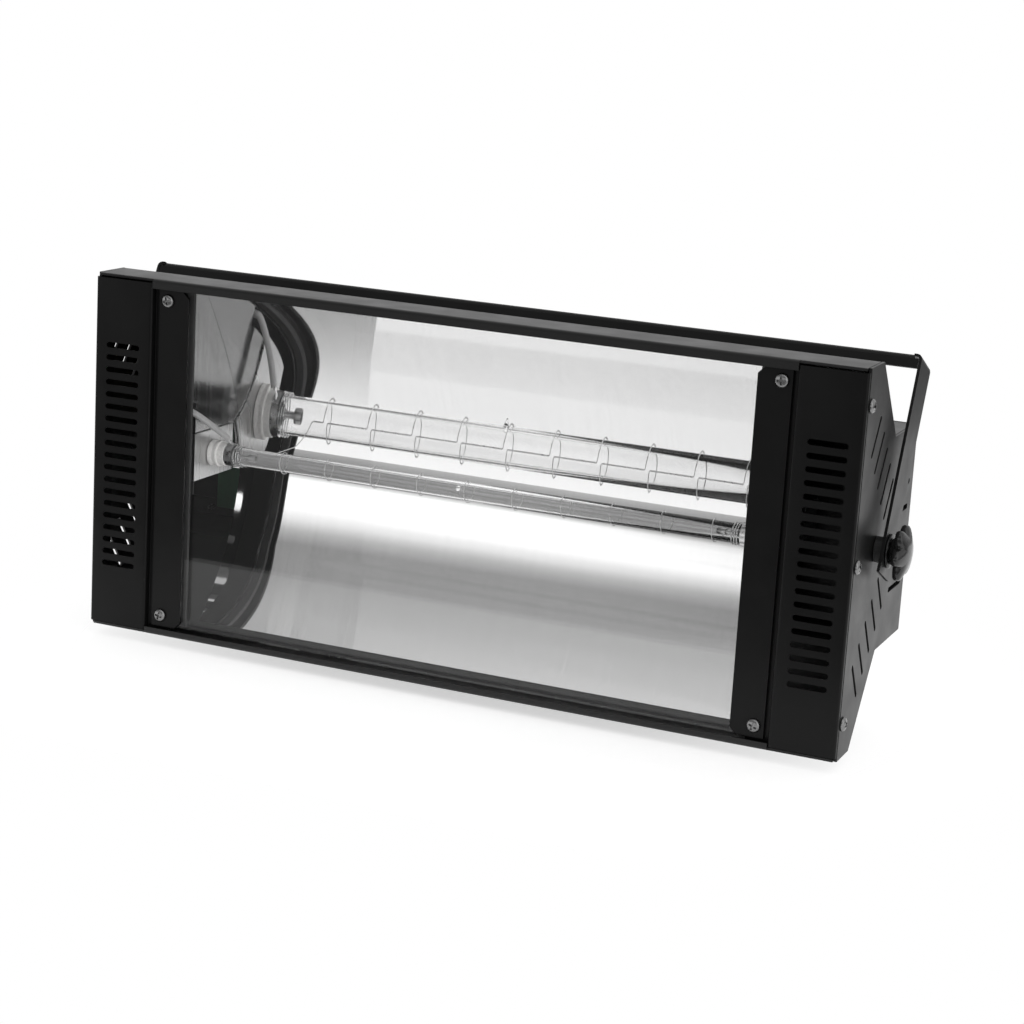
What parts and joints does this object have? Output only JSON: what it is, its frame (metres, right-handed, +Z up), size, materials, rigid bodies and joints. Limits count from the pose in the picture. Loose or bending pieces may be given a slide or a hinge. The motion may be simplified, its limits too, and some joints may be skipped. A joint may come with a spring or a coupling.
{
  "type": "strobe light",
  "caption": "Mains strobe light: sheet-metal housing with glass window, trough reflector, linear xenon tube and slotted end columns, hung on a tilting U yoke clamped by star knobs.",
  "frame": {"origin": "centre of the clamp hole, at the outer face of the yoke's bar", "axes": "+X to the right of someone who faces the window, +Y to the rear panel, +Z up with the housing upright"},
  "size_m": [0.4608, 0.1168, 0.194],
  "materials": {
    "housing_paint": "satin black powder coat",
    "front_paint": "fine black powder coat",
    "yoke_paint": "satin black powder coat",
    "window_glass": "clear float glass",
    "tube_glass": "clear quartz",
    "reflector_sheet": "polished",
    "end_plate_sheet": "plain mill finish",
    "lamp_plate_sheet": "bright",
    "lamp_ceramic": "matt white",
    "electrode_metal": "grey",
    "wire_metal": "drawn nickel wire",
    "lead_sleeve": "woven glass sleeve",
    "screw_steel": "zinc plated",
    "clamp_steel": "zinc plated",
    "black_rubber": "matt",
    "knob_plastic": "glossy moulded",
    "fitting_plastic": "moulded",
    "board_laminate": "green board",
    "capacitor_case": "potted film capacitor",
    "coil_case": "potted coil"
  },
  "bodies": {
    "yoke": {"yoke": "yoke_paint"},
    "housing": {"upper_shell": "housing_paint", "lower_shell": "housing_paint", "side_plate_right": "housing_paint", "side_plate_left": "housing_paint", "rear_panel": "housing_paint", "column_right": "front_paint", "column_left": "front_paint", "clamp_strip_right": "front_paint", "clamp_strip_left": "front_paint", "front_glass": "window_glass", "flash_tube": "tube_glass", "reflector_trough": "reflector_sheet", "reflector_end_right": "end_plate_sheet", "reflector_end_left": "end_plate_sheet", "lamp_plate_right": "lamp_plate_sheet", "lamp_plate_left": "lamp_plate_sheet", "lamp_cap_right": "lamp_ceramic", "lamp_cap_left": "lamp_ceramic", "electrode_right": "electrode_metal", "electrode_left": "electrode_metal", "trigger_wire": "wire_metal", "lamp_lead_right": "lead_sleeve", "lamp_lead_left": "lead_sleeve", "strip_screw_lower_right": "screw_steel", "strip_screw_lower_left": "screw_steel", "strip_screw_upper_right": "screw_steel", "strip_screw_upper_left": "screw_steel", "side_screw_lower_right": "screw_steel", "side_screw_lower_left": "screw_steel", "side_screw_middle_right": "screw_steel", "side_screw_middle_left": "screw_steel", "side_screw_upper_right": "screw_steel", "side_screw_upper_left": "screw_steel", "panel_screw_lower_right": "screw_steel", "panel_screw_lower_left": "screw_steel", "panel_screw_upper_right": "screw_steel", "panel_screw_upper_left": "screw_steel", "threaded_insert_right": "clamp_steel", "threaded_insert_left": "clamp_steel", "glass_gasket_right": "black_rubber", "glass_gasket_left": "black_rubber", "yoke_spacer_right": "black_rubber", "yoke_spacer_left": "black_rubber", "power_inlet": "fitting_plastic", "fuse_holder": "fitting_plastic", "remote_socket_in": "fitting_plastic", "remote_socket_out": "fitting_plastic", "control_board": "board_laminate", "power_board": "board_laminate", "film_capacitor_1": "capacitor_case", "film_capacitor_2": "capacitor_case", "trigger_coil": "coil_case"},
    "clamp_right": {"knob_washer_right": "clamp_steel"},
    "clamp_left": {"knob_washer_left": "clamp_steel"},
    "knob_right": {"star_knob_right": "knob_plastic"},
    "knob_left": {"star_knob_left": "knob_plastic"},
    "rate_control": {"rate_knob": "fitting_plastic"},
    "level_control": {"level_knob": "fitting_plastic"},
    "fuse_drawer": {"fuse_cap": "fitting_plastic"}
  },
  "joints": [
    {"name": "yoke_tilt", "type": "hinge", "parent": "yoke", "child": "housing", "pos_m": [0, -0.04142, -0.08882], "axis": [1, 0, 0], "range_deg": [-20, 150]},
    {"name": "clamp_right_release", "type": "slide", "parent": "housing", "child": "clamp_right", "axis": [1, 0, 0], "range_m": [0, 0.00125]},
    {"name": "clamp_left_release", "type": "slide", "parent": "housing", "child": "clamp_left", "axis": [-1, 0, 0], "range_m": [0, 0.00125]},
    {"name": "knob_right_turn", "type": "hinge", "parent": "clamp_right", "child": "knob_right", "pos_m": [0, -0.04142, -0.08882], "axis": [1, 0, 0], "range_deg": [0, 360]},
    {"name": "knob_left_turn", "type": "hinge", "parent": "clamp_left", "child": "knob_left", "pos_m": [0, -0.04142, -0.08882], "axis": [-1, 0, 0], "range_deg": [0, 360]},
    {"name": "rate_turn", "type": "hinge", "parent": "housing", "child": "rate_control", "pos_m": [0.008, 0.02158, -0.09082], "axis": [0, 1, 0], "range_deg": [-150, 150]},
    {"name": "level_turn", "type": "hinge", "parent": "housing", "child": "level_control", "pos_m": [-0.03, 0.02158, -0.09082], "axis": [0, 1, 0], "range_deg": [-150, 150]},
    {"name": "fuse_cap_turn", "type": "hinge", "parent": "housing", "child": "fuse_drawer", "pos_m": [0.108, 0.02158, -0.09082], "axis": [0, 1, 0], "range_deg": [0, 45]}
  ],
  "couplings": [
    {"joint": "clamp_right_release", "follows": "knob_right_turn", "m_per_rad": 0.00019894},
    {"joint": "clamp_left_release", "follows": "knob_left_turn", "m_per_rad": 0.00019894}
  ]
}
